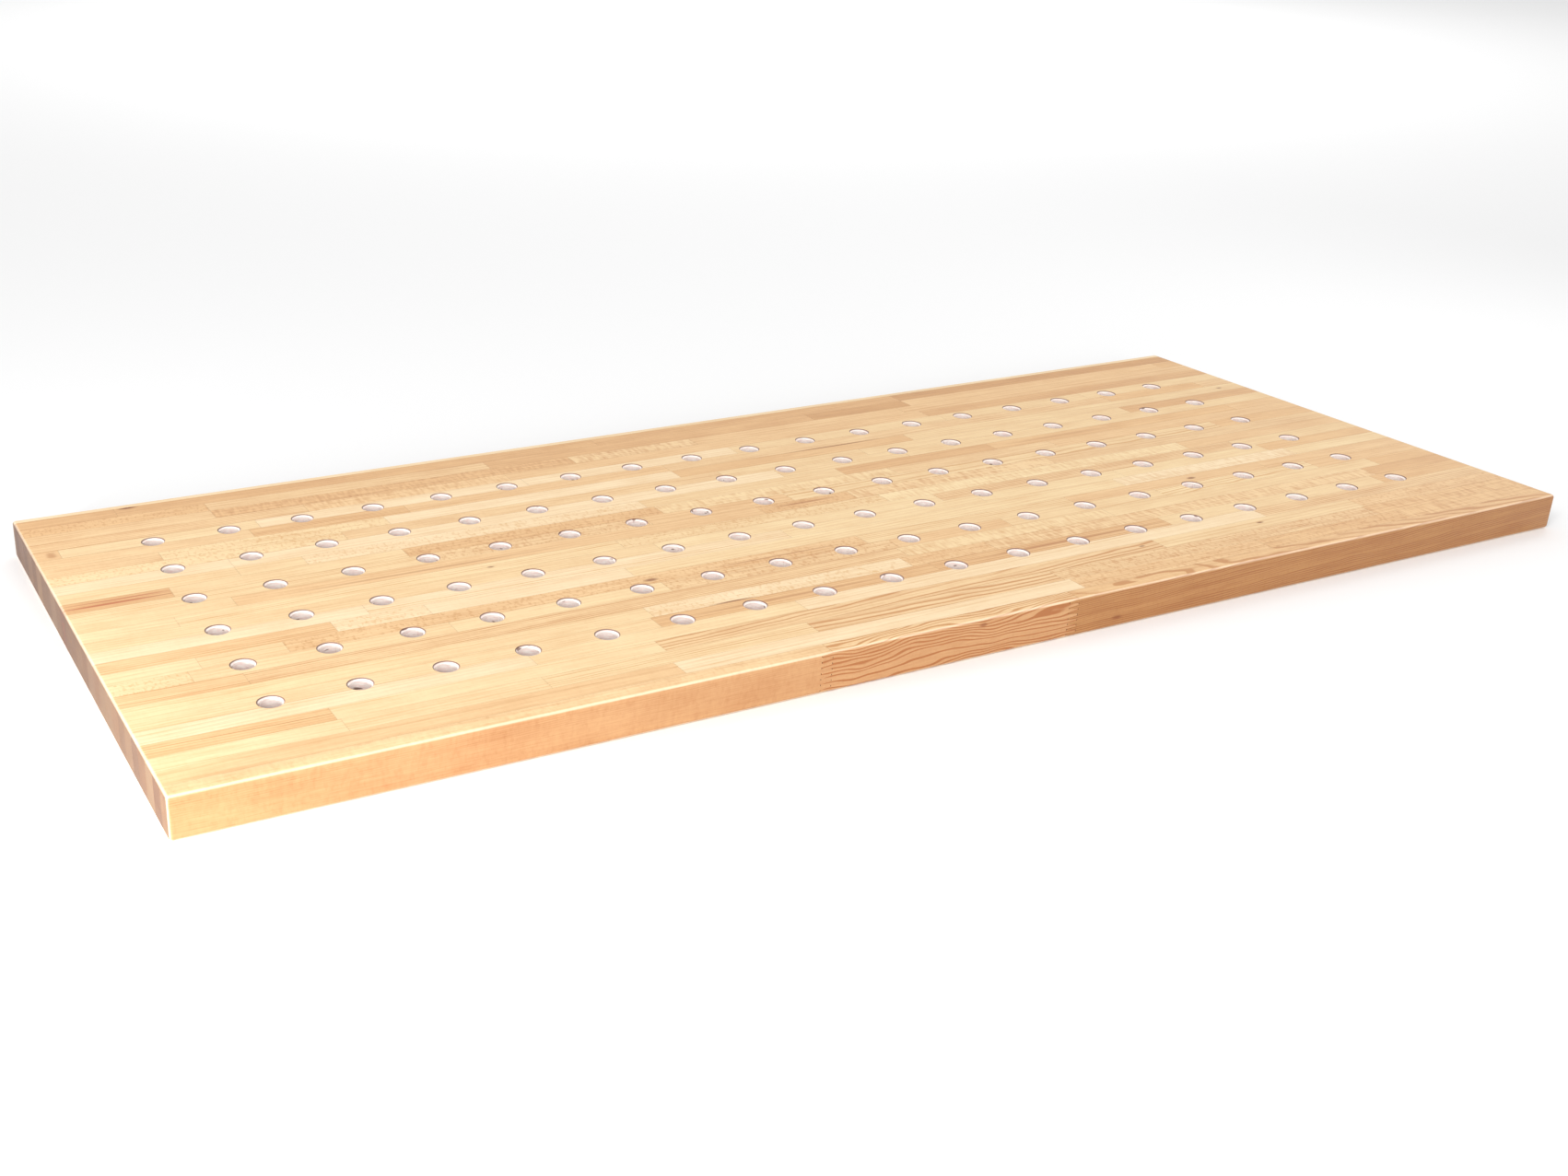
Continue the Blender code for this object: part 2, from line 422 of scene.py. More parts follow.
    def glued(self, wood: Socket) -> Socket:
        """Draw a thin line of glue along each side, and across the face at each finger joint.

        Args:
            wood: The colour so far.

        Returns:
            The colour with its glue lines.
        """
        node = self.node
        upward = node("ShaderNodeSeparateXYZ", {0: self.facing}).outputs[2]
        joint_shown = node("ShaderNodeMath", {0: upward, 1: 0.3}, operation="MULTIPLY").outputs[0]
        x, y, _ = node("ShaderNodeSeparateXYZ", {0: self.place}).outputs
        glue = linear(self.maple.glue)
        for here, limits, width, shown in (
            (y, "sides", self.maple.side_line, 0.35),
            (x, "ends", self.maple.joint_line, joint_shown),
        ):
            low, high, _ = node("ShaderNodeSeparateXYZ", {0: self.read[limits]}).outputs
            above = node("ShaderNodeMath", {0: here, 1: low}, operation="SUBTRACT").outputs[0]
            below = node("ShaderNodeMath", {0: high, 1: here}, operation="SUBTRACT").outputs[0]
            near = node("ShaderNodeMath", {0: above, 1: below}, operation="MINIMUM").outputs[0]
            line = node("ShaderNodeMapRange", {0: near, 1: 0.0, 2: width, 3: 0.6, 4: 0.0}).outputs[0]
            seen = node("ShaderNodeMath", {0: line, 1: shown}, operation="MULTIPLY").outputs[0]
            wood = node("ShaderNodeMix", {"Factor": seen, 6: wood, 7: glue}, data_type="RGBA").outputs[2]
        return wood


@dataclass(frozen=True)
class BoredWall:
    """Raw maple cut by a bit: paler and pinker than the sanded face, matt, with fine rings left by it."""

    pale: str = "FFF6EE"
    pink: str = "F6D9D0"
    # The colour of the scorches, of the dark ring at each rim and of the painted shade in the bore
    scorch_and_shade: str = "62341A"
    rim: float = 1.1 * MM  # how far in from each face the wall is darker
    shallow: float = 6 * MM  # where painted shade starts to darken the wall down the bore
    deep_shade: float = 14 * MM  # and where the painted shade is darkest
    painted_shade_side: tuple[float, float, float] = (0.85, 0.53, 0.0)  # the way that the walls with painted shade face

    def material(self, thickness: float) -> bpy.types.Material:
        """Make the bored wall's material.

        Args:
            thickness: The panel's thickness.

        Returns:
            The material.
        """
        made = bpy.data.materials.new("bored_maple_wall")
        made.use_nodes = True
        tree = made.node_tree
        shader = tree.nodes["Principled BSDF"]
        node = partial(add_node, tree)
        places = node("ShaderNodeTexCoord").outputs
        place = places["Object"]

        # Rings left by the bit, 1 mm apart down the bore, and rarer scorches 4 mm tall where it rubbed
        noise = {}
        for name, scale, detail in (("cut", (180, 180, 900), 2.0), ("rub", (90, 90, 260), 1.0)):
            scaled = node("ShaderNodeVectorMath", {0: place, 1: scale}, operation="MULTIPLY").outputs[0]
            drawn = node("ShaderNodeTexNoise", {"Vector": scaled, "Scale": 1.0, "Detail": detail})
            noise[name] = drawn.outputs["Fac"]
        share = node("ShaderNodeMapRange", {0: noise["cut"], 1: 0.35, 2: 0.75}).outputs[0]
        wood = node(
            "ShaderNodeMix", {"Factor": share, 6: linear(self.pale), 7: linear(self.pink)}, data_type="RGBA"
        ).outputs[2]
        scorched = node("ShaderNodeMapRange", {0: noise["rub"], 1: 0.7, 2: 0.76, 4: 0.8}).outputs[0]

        # The wall is darker in a thin ring at each rim, and painted shade darkens it a little down the bore
        half = thickness / 2
        height = node("ShaderNodeSeparateXYZ", {0: place}).outputs[2]
        off = node("ShaderNodeMath", {0: height, 1: half}, operation="SUBTRACT").outputs[0]
        reach = node("ShaderNodeMath", {0: off}, operation="ABSOLUTE").outputs[0]
        rim = node(
            "ShaderNodeMapRange", {0: reach, 1: half - self.rim, 2: half - self.rim / 2, 4: 0.9}
        ).outputs[0]
        deep_shade = node(
            "ShaderNodeMapRange", {0: reach, 1: half - self.shallow, 2: half - self.deep_shade, 4: 0.06}
        ).outputs[0]

        # Painted shade on the wall at the left and front of each bore, which faces away from the lamps
        turned = node(
            "ShaderNodeVectorMath", {0: places["Normal"], 1: self.painted_shade_side}, operation="DOT_PRODUCT"
        ).outputs["Value"]
        shaded_crescent = node("ShaderNodeMapRange", {0: turned, 1: 0.3, 2: 0.62, 4: 0.97}).outputs[0]
        scorch_and_shade = linear(self.scorch_and_shade)
        for share in (rim, deep_shade, scorched, shaded_crescent):
            wood = node("ShaderNodeMix", {"Factor": share, 6: wood, 7: scorch_and_shade}, data_type="RGBA").outputs[2]
        relief = {"Height": noise["cut"], "Strength": 0.2, "Distance": 0.1 * MM}
        bump = node("ShaderNodeBump", relief).outputs[0]
        tree.links.new(wood, shader.inputs["Base Color"])
        tree.links.new(bump, shader.inputs["Normal"])
        shader.inputs["Roughness"].default_value = 0.6
        return made


WOODS = (
    Maple(Tone.PALE, "F7DEB6", "DDAF73", "cream_wood"),
    Maple(Tone.CREAM, "F4D9A9", "D9A669", "cream_wood"),
    Maple(Tone.HONEY, "F2D4A3", "D4A064", "honey_wood"),
    Maple(Tone.STRAW, "F0CE9C", "C88C50", "honey_wood"),
    Maple(Tone.TAN, "EEC895", "CB9256", "tan_wood"),
    # The amber wood gets a lighter painted shade on its front and back faces
    Maple(Tone.AMBER, "EAC18C", "C68B50", "tan_wood", painted_side_shade="C3AB90"),
    Maple(Tone.BROWN, "E4B883", "BD8048", "rose_wood"),
    Maple(Tone.UMBER, "D9A973", "AC6F3C", "brown_wood"),
)


@dataclass(frozen=True)
class Log:
    """The log that a stave was sawn from, as its growth rings lie in the stave."""

    pith: tuple[float, float, float]  # a point on the pith
    lean: tuple[float, float]  # how far the pith moves across and up for each metre along
    ring_spacing: float
    waver: float  # how far the rings bend
    ring_strength: float
    ray_strength: float
    curl_strength: float
    contrast: float

    @classmethod
    def sawn(cls, how: Sawn, middle: Vector, rng: random.Random) -> "Log":
        """Choose a log that shows a figure on the top of a stave.

        Args:
            how: The way the stave was sawn.
            middle: The middle of the stave.
            rng: The stave's own random numbers.

        Returns:
            The log.
        """
        side = rng.choice((-1, 1))
        beside, below, ring_strength = {
            Sawn.QUIET: (60, 60, 0.4),
            Sawn.LINED: (90, 12, 1.1),
            Sawn.ARCHED: (18, 18, 1.4),
            Sawn.FLECKED: (80, 25, 0.55),
            Sawn.RIPPLED: (50, 50, 0.4),
        }[how]
        arched = how is Sawn.ARCHED
        steepest = 0.03 if arched else 0.016
        pith = (
            middle.x + rng.uniform(-80, 80) * MM,
            middle.y + side * beside * MM * rng.uniform(0.8, 1.3),
            middle.z - below * MM * rng.uniform(0.8, 1.3),
        )
        return cls(
            pith=pith,
            lean=(side * rng.uniform(0.004, 0.012), rng.choice((-1, 1)) * rng.uniform(0.01, steepest)),
            ring_spacing=rng.uniform(2.6, 4.2) * MM,
            waver=(7 if arched else 3) * MM,
            ring_strength=ring_strength * rng.uniform(0.8, 1.2),
            ray_strength=0.5 if how is Sawn.FLECKED else 0.06,
            curl_strength=1.4 if how is Sawn.RIPPLED else 0.15,
            contrast=0.7 if how is Sawn.QUIET else 1.0,
        )


# The logs of the front strip, whose growth rings show best on the front edge: even wood with fine fleck, then
# wavy arches, then long slanting lines
FRONT_LOGS = {
    "stave_01_1": Log((-0.5, -0.25, -0.09), (0.002, 0.004), 1.7 * MM, 3 * MM, 0.25, 0.15, 0.3, 0.4),
    "stave_01_2": Log((-0.06, -0.34, -0.03), (0.01, 0.012), 2.8 * MM, 26 * MM, 4.5, 0.1, 0.1, 0.5),
    "stave_01_3": Log((0.25, -0.28, -0.06), (0.004, 0.03), 2.0 * MM, 9 * MM, 2.6, 0.15, 0.12, 1.0),
}


# The colours of marks: a knot or bark, brown stain along the grain, and red-brown heartwood stripes
KNOT = "84461A"
STAIN = "A9642C"
HEART = "B4582A"


@dataclass(frozen=True)
class Mark:
    """A knot, a pitch mark or a streak of stain on a stave, in inches from the panel's left end."""

    start: float
    end: float
    across: float = 0.5  # its middle's place across the strip, from 0 at the front to 1 at the back
    width: float = 0.12
    strength: float = 0.8
    up: Optional[float] = None  # its height as a share of the thickness, where it doesn't go right through
    half_height: float = 1 / 12  # as a share of the thickness, where up is given
    colour: str = KNOT


# What a stave without marks carries
NO_MARK = Mark(0, 1, strength=0)

# The marks of each strip, by the strip's place from the front
MARKS = {
    0: (Mark(35.2, 36.0, 0, 0.4, 0.8, up=0.25), Mark(29.0, 29.5, 0, 0.5, 0.7, up=0.85)),
    1: (Mark(43, 46, 0.5, 0.12, 0.22, colour=STAIN),),
    2: (Mark(44, 50, 0.3, 0.1, 0.2, colour=STAIN),),
    3: (Mark(39.2, 39.6, 0.6, 0.08), Mark(45.4, 46.0, 0.55, 0.14, 1.0)),
    5: (Mark(18.3, 30.4, 0.5, 0.14, 0.5, colour=STAIN), Mark(30.4, 43.4, 0.5, 0.16, 0.6, colour=STAIN)),
    6: (Mark(20.8, 23.2, 0.04, 0.1, 0.9),),
    8: (Mark(21, 29, 0.6, 0.08, 0.3, colour=STAIN),),
    9: (
        Mark(19.8, 20.6, 0.4, 0.2, 0.8),
        Mark(21.8, 29.2, 0.45, 0.1, 0.5, colour=STAIN),
        Mark(46.8, 47.4, 0.5, 0.16, 0.8),
    ),
    13: (Mark(15.1, 15.5, 0.5, 0.12, 0.7),),
    14: (Mark(5.7, 20, 0.35, 0.12, 0.45, colour=STAIN), Mark(28, 32, 0.6, 0.16, 0.6, colour=STAIN)),
    16: (Mark(-0.6, 4.4, 0.4, 0.14, 0.75, colour=HEART), Mark(-0.6, 4.6, 0.72, 0.09, 0.75, colour=HEART)),
    17: (Mark(41.9, 50, 0.5, 0.2, 0.3, colour=STAIN),),
    20: (Mark(31.5, 38.9, 0.96, 0.1, 0.75), Mark(58.2, 58.8, 0.5, 0.16, 0.8)),
    22: (Mark(0.4, 0.95, 0.5, 0.5, 0.5, colour=STAIN),),
    26: (Mark(3.9, 5.0, 0.9, 0.16, 0.95),),
}


@dataclass(frozen=True)
class Bores:
    """The grid of holes for bench dogs."""

    columns: int = 18
    rows: int = 6
    pitch: float = 3 * INCH
    diameter: float = 0.75 * INCH
    chamfer: float = 2.0 * MM
    sides: int = 56

    def column_x(self, column: int) -> float:
        """Return the X of a column's middle line."""
        return (column - (self.columns - 1) / 2) * self.pitch

    def row_y(self, row: int) -> float:
        """Return the Y of a row's middle line."""
        return (row - (self.rows - 1) / 2) * self.pitch

    def rim(self) -> float:
        """Return a hole's radius over its chamfer."""
        return self.diameter / 2 + self.chamfer


class BoringJig:
    """Bores a run of chamfered holes through a stave, as a Geometry Nodes tree does it."""

    INPUTS = (
        ("Stave", "Geometry"),
        ("First Column", "Float"),
        ("Columns", "Int"),
        ("Row", "Float"),
        ("Pitch", "Float"),
        ("Bore", "Float"),
        ("Chamfer", "Float"),
        ("Sides", "Int"),
        ("Thickness", "Float"),
        ("Bored Wall", "Material"),
    )

    def __init__(self, bores: Bores, thickness: float, wall: bpy.types.Material) -> None:
        """Make the jig's tree.

        Args:
            bores: The grid of holes.
            thickness: The panel's thickness.
            wall: The material that the bored walls get.
        """
        self.bores = bores
        self.thickness = thickness
        self.wall = wall
        self.tree = bpy.data.node_groups.new("boring_jig", "GeometryNodeTree")
        self.keys = {
            name: self.tree.interface.new_socket(name, socket_type="NodeSocket" + kind).identifier
            for name, kind in self.INPUTS
        }
        self.tree.interface.new_socket("Bored Stave", in_out="OUTPUT", socket_type="NodeSocketGeometry")
        self.fill()

    def fill(self) -> None:
        """Build the tree: one lathed bit, set along the row at each column, cut from the stave in one go."""
        node = partial(add_node, self.tree)
        given = node("NodeGroupInput").outputs
        radius = node("ShaderNodeMath", {0: given["Bore"], 1: 0.5}, operation="MULTIPLY").outputs[0]

        # The bit: a four-ring cylinder. Its outer rings flare past the faces and its inner ones end the bore
        blank = node(
            "GeometryNodeMeshCylinder",
            {"Vertices": given["Sides"], "Side Segments": 3, "Radius": radius, "Depth": 3.0},
        ).outputs["Mesh"]
        spot = node("GeometryNodeInputPosition").outputs[0]
        spot_x, spot_y, spot_z = node("ShaderNodeSeparateXYZ", {0: spot}).outputs
        height = node("ShaderNodeMath", {0: spot_z}, operation="ABSOLUTE").outputs[0]
        side = node("ShaderNodeMath", {0: spot_z}, operation="SIGN").outputs[0]
        outer = node("ShaderNodeMath", {0: height, 1: 1.0}, operation="GREATER_THAN").outputs[0]
        half = node("ShaderNodeMath", {0: given["Thickness"], 1: 0.5}, operation="MULTIPLY").outputs[0]
        inner_reach = node("ShaderNodeMath", {0: half, 1: given["Chamfer"]}, operation="SUBTRACT").outputs[0]
        flare = node("ShaderNodeMath", {0: given["Chamfer"], 1: 2.0}, operation="MULTIPLY").outputs[0]
        flared = node("ShaderNodeMath", {0: flare, 1: outer}, operation="MULTIPLY").outputs[0]
        reach = node("ShaderNodeMath", {0: inner_reach, 1: flared}, operation="ADD").outputs[0]
        new_z = node("ShaderNodeMath", {0: reach, 1: side, 2: half}, operation="MULTIPLY_ADD").outputs[0]
        grown = node("ShaderNodeMath", {0: radius, 1: flared}, operation="ADD").outputs[0]
        ratio = node("ShaderNodeMath", {0: grown, 1: radius}, operation="DIVIDE").outputs[0]
        new_x = node("ShaderNodeMath", {0: spot_x, 1: ratio}, operation="MULTIPLY").outputs[0]
        new_y = node("ShaderNodeMath", {0: spot_y, 1: ratio}, operation="MULTIPLY").outputs[0]
        moved = node("ShaderNodeCombineXYZ", {0: new_x, 1: new_y, 2: new_z}).outputs[0]
        bit = node("GeometryNodeSetPosition", {"Geometry": blank, "Position": moved}).outputs[0]

        start = node("ShaderNodeCombineXYZ", {0: given["First Column"], 1: given["Row"]}).outputs[0]
        step = node("ShaderNodeCombineXYZ", {0: given["Pitch"]}).outputs[0]
        centres = node(
            "GeometryNodeMeshLine", {"Count": given["Columns"], "Start Location": start, "Offset": step}
        ).outputs[0]
        bits = node("GeometryNodeInstanceOnPoints", {"Points": centres, "Instance": bit}).outputs[0]
        row = node("GeometryNodeRealizeInstances", {0: bits}).outputs[0]
        bored = node(
            "GeometryNodeMeshBoolean", {0: given["Stave"], 1: row}, operation="DIFFERENCE", solver="EXACT"
        ).outputs[0]

        # The bored walls and their chamfers are the faces on a bore that don't lie flat
        past = node("ShaderNodeMath", {0: spot_x, 1: given["First Column"]}, operation="SUBTRACT").outputs[0]
        pitches = node("ShaderNodeMath", {0: past, 1: given["Pitch"]}, operation="DIVIDE").outputs[0]
        nearest = node("ShaderNodeMath", {0: pitches}, operation="ROUND").outputs[0]
        rest = node("ShaderNodeMath", {0: pitches, 1: nearest}, operation="SUBTRACT").outputs[0]
        off_x = node("ShaderNodeMath", {0: rest, 1: given["Pitch"]}, operation="MULTIPLY").outputs[0]
        off_y = node("ShaderNodeMath", {0: spot_y, 1: given["Row"]}, operation="SUBTRACT").outputs[0]
        off = node("ShaderNodeCombineXYZ", {0: off_x, 1: off_y}).outputs[0]
        distance = node("ShaderNodeVectorMath", {0: off}, operation="LENGTH").outputs["Value"]
        edge = node("ShaderNodeMath", {0: radius, 1: given["Chamfer"]}, operation="ADD").outputs[0]
        on_bore = node("ShaderNodeMath", {0: distance, 1: edge}, operation="LESS_THAN").outputs[0]
        normal = node("GeometryNodeInputNormal").outputs[0]
        normal_z = node("ShaderNodeSeparateXYZ", {0: normal}).outputs[2]
        tilt = node("ShaderNodeMath", {0: normal_z}, operation="ABSOLUTE").outputs[0]
        upright = node("ShaderNodeMath", {0: tilt, 1: 0.85}, operation="LESS_THAN").outputs[0]
        wall = node("ShaderNodeMath", {0: on_bore, 1: upright}, operation="MULTIPLY").outputs[0]
        whole = node("GeometryNodeRealizeInstances", {0: bored}).outputs[0]
        dressed = node(
            "GeometryNodeSetMaterial", {"Geometry": whole, "Selection": wall, "Material": given["Bored Wall"]}
        ).outputs[0]
        node("NodeGroupOutput", {0: dressed})

    def columns_through(self, left: float, right: float) -> range:
        """Find the columns whose holes reach between two places along the panel.

        Args:
            left: The place on the left.
            right: The place on the right.

        Returns:
            The columns.
        """
        rim = self.bores.rim()
        found = [c for c in range(self.bores.columns) if left - rim < self.bores.column_x(c) < right + rim]
        return range(found[0], found[-1] + 1) if found else range(0)

    def rows_through(self, front: float, back: float) -> list[int]:
        """Return the rows whose holes reach between two places across the panel."""
        rim = self.bores.rim()
        return [r for r in range(self.bores.rows) if front - rim < self.bores.row_y(r) < back + rim]

    def fit(self, piece: bpy.types.Object, row: int, columns: range) -> None:
        """Put the jig on a stave.

        Args:
            piece: The stave's object.
            row: The row of holes.
            columns: The columns that reach the stave.
        """
        jig = piece.modifiers.new("boring jig", "NODES")
        jig.node_group = self.tree
        for name, value in (
            ("First Column", self.bores.column_x(columns[0])),
            ("Columns", len(columns)),
            ("Row", self.bores.row_y(row)),
            ("Pitch", self.bores.pitch),
            ("Bore", self.bores.diameter),
            ("Chamfer", self.bores.chamfer),
            ("Sides", self.bores.sides),
            ("Thickness", self.thickness),
            ("Bored Wall", self.wall),
        ):
            jig[self.keys[name]] = value


def made_object(name: str, bm: bmesh.types.BMesh) -> bpy.types.Object:
    """Make an object of a bmesh, with its faces turned outwards.

    Args:
        name: The object's name.
        bm: The mesh, which is freed.

    Returns:
        The object, in the scene.
    """
    bmesh.ops.recalc_face_normals(bm, faces=bm.faces)
    mesh = bpy.data.meshes.new(name)
    bm.to_mesh(mesh)
    bm.free()
    made = bpy.data.objects.new(name, mesh)
    bpy.context.scene.collection.objects.link(made)
    return made


def made_plain(piece: bpy.types.Object) -> None:
    """Turn a piece's modifiers into its mesh.

    Args:
        piece: The object.
    """
    shown = piece.evaluated_get(bpy.context.evaluated_depsgraph_get())
    old = piece.data
    piece.data = bpy.data.meshes.new_from_object(shown)
    piece.modifiers.clear()
    bpy.data.meshes.remove(old)


@dataclass
class Stave:
    """One stave of a strip: its place in the panel, its wood and the node that it belongs to."""

    name: str
    node: str
    left: float
    right: float
    front: float
    back: float
    thickness: float
    tone: Tone
    log: Log
    marks: tuple[Mark, ...]
    origin: float  # the panel's left end
    first: bool
    last: bool
    outer_front: bool
    outer_back: bool
    fingers: int = 7
    finger_length: float = 11 * MM
    tip_width: float = 0.3  # a finger's blunt tip, as a share of its step
    tip_gap: float = 0.5 * MM
    tight: float = 0.12  # the gap left at the two faces, as a share of the tip gap

    def finger_line(self, x: float, shift: float) -> list[tuple[float, float]]:
        """Draw one side of a finger joint.

        Args:
            x: Where the joint's line is on the top.
            shift: How far along this side is moved, to leave a gap.

        Returns:
            The (x, z) points from the underside to the top.
        """
        step = self.thickness / (2 * self.fingers)
        points = []
        for i in range(2 * self.fingers + 1):
            tight = self.tight if i in (0, 2 * self.fingers) else 1
            reach = x + shift * tight - (self.finger_length if i % 2 else 0)
            for offset in (-self.tip_width, self.tip_width):
                z = min(max((i + offset) * step, 0), self.thickness)
                if not points or points[-1] != (reach, z):
                    points.append((reach, z))
        return points

    def square_line(self, x: float) -> list[tuple[float, float]]:
        """Return the (x, z) points up a square sawn end."""
        return [(x, 0), (x, self.thickness)]

    def blank(self) -> bpy.types.Object:
        """Saw the stave to its outline, with fingers at the ends that meet another stave.

        Returns:
            The blank, uneased and unbored.
        """
        gap = self.tip_gap / 2
        left = self.square_line(self.left) if self.first else self.finger_line(self.left, gap)
        right = self.square_line(self.right) if self.last else self.finger_line(self.right, -gap)
        bm = bmesh.new()
        outline = [bm.verts.new((x, self.front, z)) for x, z in right + left[::-1]]
        made = bmesh.ops.extrude_face_region(bm, geom=[bm.faces.new(outline)])
        moved = [item for item in made["geom"] if isinstance(item, bmesh.types.BMVert)]
        bmesh.ops.translate(bm, verts=moved, vec=(0, self.back - self.front, 0))
        return made_object(self.name, bm)

    def write_grain(self, mesh: bpy.types.Mesh) -> None:
        """Store the stave's log, figure, marks and edges on its mesh, where its material reads them.

        Args:
            mesh: The finished mesh.
        """
        width = self.back - self.front
        values = {
            "pith": self.log.pith,
            "lean": (0.0, *self.log.lean),
            "rings": (self.log.ring_spacing, self.log.waver, self.log.ring_strength),
            "figure": (self.log.ray_strength, self.log.curl_strength, self.log.contrast),
            "seed": [random.Random(self.name + axis).uniform(0, 40) for axis in "xyz"],
            "sides": (-FAR if self.outer_front else self.front, FAR if self.outer_back else self.back, 0),
            "ends": (-FAR if self.first else self.left, FAR if self.last else self.right, 0),
        }
        strengths = {}
        for name, mark in zip(MARK_NAMES, (*self.marks, NO_MARK, NO_MARK)):
            length = (mark.end - mark.start) * INCH
            values[name + "_middle"] = (
                self.origin + (mark.start + mark.end) / 2 * INCH,
                self.front + mark.across * width,
                (mark.up or 0) * self.thickness,
            )
            upright = 0 if mark.up is None else 1 / (mark.half_height * self.thickness)
            values[name + "_reach"] = (2 / length, 1 / (mark.width * width), upright)
            values[name + "_colour"] = linear(mark.colour)[:3]
            strengths[name + "_strength"] = mark.strength
        for name, value in values.items():
            stored = mesh.attributes.new(name, "FLOAT_VECTOR", "POINT")
            stored.data.foreach_set("vector", list(value) * len(mesh.vertices))
        for name, value in strengths.items():
            stored = mesh.attributes.new(name, "FLOAT", "POINT")
            stored.data.foreach_set("value", [value] * len(mesh.vertices))

    def build(
        self, jig: BoringJig, envelope: bpy.types.Object, wood: Maple, finish: bpy.types.Material
    ) -> None:
        """Saw, ease, bore and dress the stave, and hang it on the frame.

        Args:
            jig: The boring jig.
            envelope: The panel's eased outer shape.
            wood: The stave's wood, which is not used.
            finish: That wood's material.
        """
        piece = self.blank()
        piece.data.materials.append(finish)
        if self.first or self.last or self.outer_front or self.outer_back:
            easing = piece.modifiers.new("eased edges", "BOOLEAN")
            easing.operation = "INTERSECT"
            easing.solver = "EXACT"
            easing.object = envelope
        columns = jig.columns_through(self.left - self.finger_length, self.right)
        for row in jig.rows_through(self.front, self.back) if columns else []:
            jig.fit(piece, row, columns)
        made_plain(piece)
        piece.data.shade_smooth()
        piece.data.set_sharp_from_angle(angle=math.radians(28))
        self.write_grain(piece.data)
        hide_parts(self.node)
        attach(piece, "root")
        length = (self.right - self.left) / MM
        faces = len(piece.data.polygons)
        LOG.info("%s: %s, %.0f mm long, %d faces", self.name, self.tone.value, length, faces)


@dataclass
class Panel:
    """The glued panel: its strips of staves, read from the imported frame."""

    easing: float = 3 * MM
    easing_segments: int = 6
    glue_gap: float = 0.06 * MM
    snap: float = 0.12 * INCH
    bores: Bores = Bores()

    def __post_init__(self) -> None:
        """Read the panel's box and its strips from the frame."""
        low, high = CAD_BOX
        self.low, self.high = Vector(low), Vector(high)
        self.thickness = self.high.z - self.low.z
        grouped: dict[str, list[str]] = {}
        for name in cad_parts:
            grouped.setdefault(name.split("_length_")[0], []).append(name)
        strips = [sorted(names, key=lambda n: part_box(n)[0].x) for names in grouped.values()]
        self.strips = sorted(strips, key=lambda names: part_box(names[0])[0].y)

    def glue_lines(self) -> list[float]:
        """Find where the strips meet.

        Returns:
            The Y of each strip's front, and last the panel's back.
        """
        boxes = [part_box(names[0]) for names in self.strips]
        between = [(a[1].y + b[0].y) / 2 for a, b in zip(boxes, boxes[1:])]
        return [self.low.y, *between, self.high.y]

    def staves(self) -> Iterable[Stave]:
        """Lay out every stave, from the front strip to the back and from left to right.

        Yields:
            The staves.
        """
        lines = self.glue_lines()
        for index, (nodes, row) in enumerate(zip(self.strips, STRIPS)):
            boxes = [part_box(name) for name in nodes]
            node_joints = [(a[1].x + b[0].x) / 2 for a, b in zip(boxes, boxes[1:])]
            front = lines[index] + (self.glue_gap / 2 if index else 0)
            back = lines[index + 1] - (self.glue_gap / 2 if index < len(STRIPS) - 1 else 0)
            left = self.low.x
            for number, (inches, tone, how) in enumerate(row, start=1):
                right = self.low.x + inches * INCH
                for joint in node_joints:
                    if abs(joint - right) < self.snap:
                        right = joint + Stave.finger_length / 2
                node = nodes[sum(joint < (left + right) / 2 for joint in node_joints)]
                name = f"stave_{index + 1:02d}_{number}"
                rng = random.Random(name)
                middle = Vector(((left + right) / 2, (front + back) / 2, self.thickness / 2))
                marks = tuple(
                    mark
                    for mark in MARKS.get(index, ())
                    if left < self.low.x + (mark.start + mark.end) / 2 * INCH < right
                )
                yield Stave(
                    name=name,
                    node=node,
                    left=left,
                    right=right,
                    front=front,
                    back=back,
                    thickness=self.thickness,
                    tone=tone,
                    log=FRONT_LOGS.get(name) or Log.sawn(how, middle, rng),
                    marks=marks,
                    origin=self.low.x,
                    first=number == 1,
                    last=number == len(row),
                    outer_front=index == 0,
                    outer_back=index == len(STRIPS) - 1,
                )
                left = right

    def envelope(self) -> bpy.types.Object:
        """Make the panel's outer shape with all its edges eased, which trims the outer staves.

        Returns:
            The shape's object.
        """
        bm = bmesh.new()
        bmesh.ops.create_cube(bm, size=1)
        sized = Matrix.Diagonal((*(self.high - self.low), 1))
        placed = Matrix.Translation((self.low + self.high) / 2)
        bmesh.ops.transform(bm, verts=bm.verts, matrix=placed @ sized)
        bmesh.ops.bevel(
            bm,
            geom=bm.edges[:],
            offset=self.easing,
            segments=self.easing_segments,
            profile=0.5,
            affect="EDGES",
        )
        return made_object("eased_envelope", bm)

    def build(self) -> None:
        """Make every stave of the panel."""
        jig = BoringJig(self.bores, self.thickness, BoredWall().material(self.thickness))
        finishes = {wood.tone: (wood, Grain(wood).made) for wood in WOODS}
        envelope = self.envelope()
        for stave in self.staves():
            stave.build(jig, envelope, *finishes[stave.tone])
        bpy.data.objects.remove(envelope)


@dataclass(frozen=True)
class Softbox:
    """A round studio lamp aimed at the middle of the panel's top."""

    name: str
    place: tuple[float, float, float]
    size: float
    power: float

    def build(self, target: Vector) -> None:
        """Hang the lamp.

        Args:
            target: The point that it's aimed at.
        """
        lamp = bpy.data.lights.new(self.name, "AREA")
        lamp.shape = "DISK"
        lamp.size = self.size
        lamp.energy = self.power
        holder = bpy.data.objects.new(self.name, lamp)
        holder.location = self.place
        holder.rotation_euler = (target - Vector(self.place)).to_track_quat("-Z", "Y").to_euler()
        bpy.context.scene.collection.objects.link(holder)


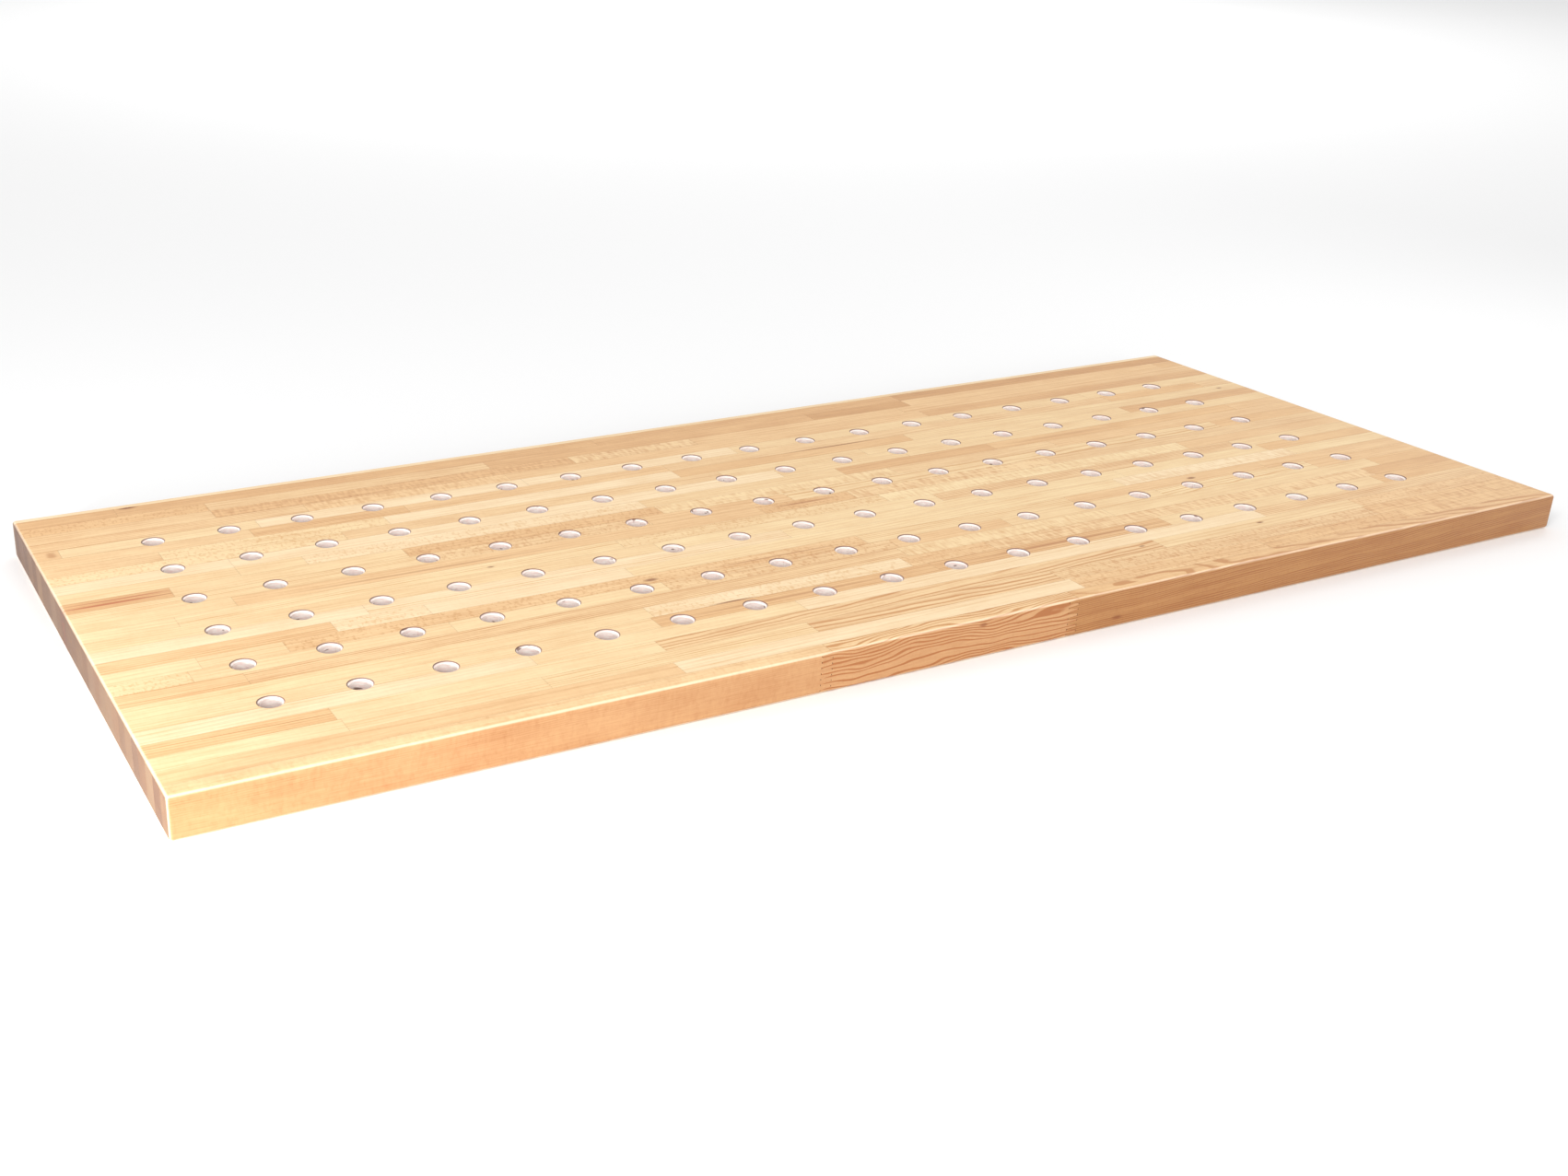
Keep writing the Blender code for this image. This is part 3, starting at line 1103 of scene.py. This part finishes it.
@dataclass
class Studio:
    """The camera, the lamps and the floor."""

    camera_place: tuple[float, float, float] = (-0.99399, -1.41878, 0.68161)
    camera_turn: tuple[float, float, float] = (66.6707, -0.9044, -26.8714)  # degrees
    focal_length: float = 40.087
    sensor_width: float = 36.0
    shift: float = 0.12397
    softboxes: tuple[Softbox, ...] = (
        Softbox("key_softbox", (-3.1, -1.9, 2.7), size=1.2, power=62.0),
        Softbox("front_softbox", (-1.2, -4.0, 1.3), size=1.0, power=50.0),
        Softbox("corner_softbox", (-1.4, -0.55, 0.13), size=0.2, power=12.0),
        Softbox("end_softbox", (1.6, 0.2, 1.0), size=0.4, power=2.0),
    )
    spot_place: tuple[float, float, float] = (2.8, 4.8, 5.2)
    spot_spread: float = 92.0  # degrees
    spot_power: float = 560.0
    sky: float = 0.81
    floor_colour: str = "F8F8F8"
    floor_radius: float = 12.0
    floor_gap: float = 0.5 * MM

    def build(self, panel: Panel) -> None:
        """Set up the camera, the lights and the floor.

        Args:
            panel: The panel that they show.
        """
        self.set_camera()
        for softbox in self.softboxes:
            softbox.build(Vector((0, 0, panel.thickness)))
        self.light_background()
        self.lay_floor(panel.low.z - self.floor_gap)

    def set_camera(self) -> None:
        """Set the camera in front of the panel's left end, looking along and down at it."""
        lens = bpy.data.cameras.new("studio_camera")
        lens.sensor_width = self.sensor_width
        lens.lens = self.focal_length
        lens.shift_x = self.shift
        lens.clip_start = 0.01
        lens.clip_end = 100
        camera = bpy.data.objects.new("studio_camera", lens)
        camera.location = self.camera_place
        camera.rotation_euler = [math.radians(angle) for angle in self.camera_turn]
        scene = bpy.context.scene
        scene.collection.objects.link(camera)
        scene.camera = camera
        scene.view_settings.view_transform = "Standard"

    def light_background(self) -> None:
        """Light the room evenly, and the floor behind the panel with a spot whose edge barely reaches it."""
        spot = bpy.data.lights.new("background_spot", "SPOT")
        spot.energy = self.spot_power
        spot.spot_size = math.radians(self.spot_spread)
        spot.spot_blend = 1
        spot.shadow_soft_size = 0.5
        holder = bpy.data.objects.new("background_spot", spot)
        holder.location = self.spot_place
        bpy.context.scene.collection.objects.link(holder)

        world = bpy.data.worlds.new("studio")
        world.use_nodes = True
        sky = world.node_tree.nodes["Background"]
        sky.inputs["Color"].default_value = (1, 1, 1, 1)
        sky.inputs["Strength"].default_value = self.sky
        bpy.context.scene.world = world

    def lay_floor(self, height: float) -> None:
        """Lay a plain matt floor.

        Args:
            height: The floor's height.
        """
        bm = bmesh.new()
        bmesh.ops.create_circle(bm, cap_ends=True, segments=96, radius=self.floor_radius)
        bmesh.ops.translate(bm, verts=bm.verts, vec=(0, 0, height))
        floor = made_object("studio_floor", bm)
        paint = bpy.data.materials.new("matt_white_floor")
        paint.use_nodes = True
        shader = paint.node_tree.nodes["Principled BSDF"]
        shader.inputs["Base Color"].default_value = linear(self.floor_colour)
        shader.inputs["Roughness"].default_value = 0.9
        shader.inputs["Specular IOR Level"].default_value = 0.2
        floor.data.materials.append(paint)


def main() -> None:
    """Build the panel and the studio."""
    logging.basicConfig(level=logging.INFO, format="%(message)s")
    panel = Panel()
    panel.build()
    Studio().build(panel)


if __name__ == "__main__":
    main()
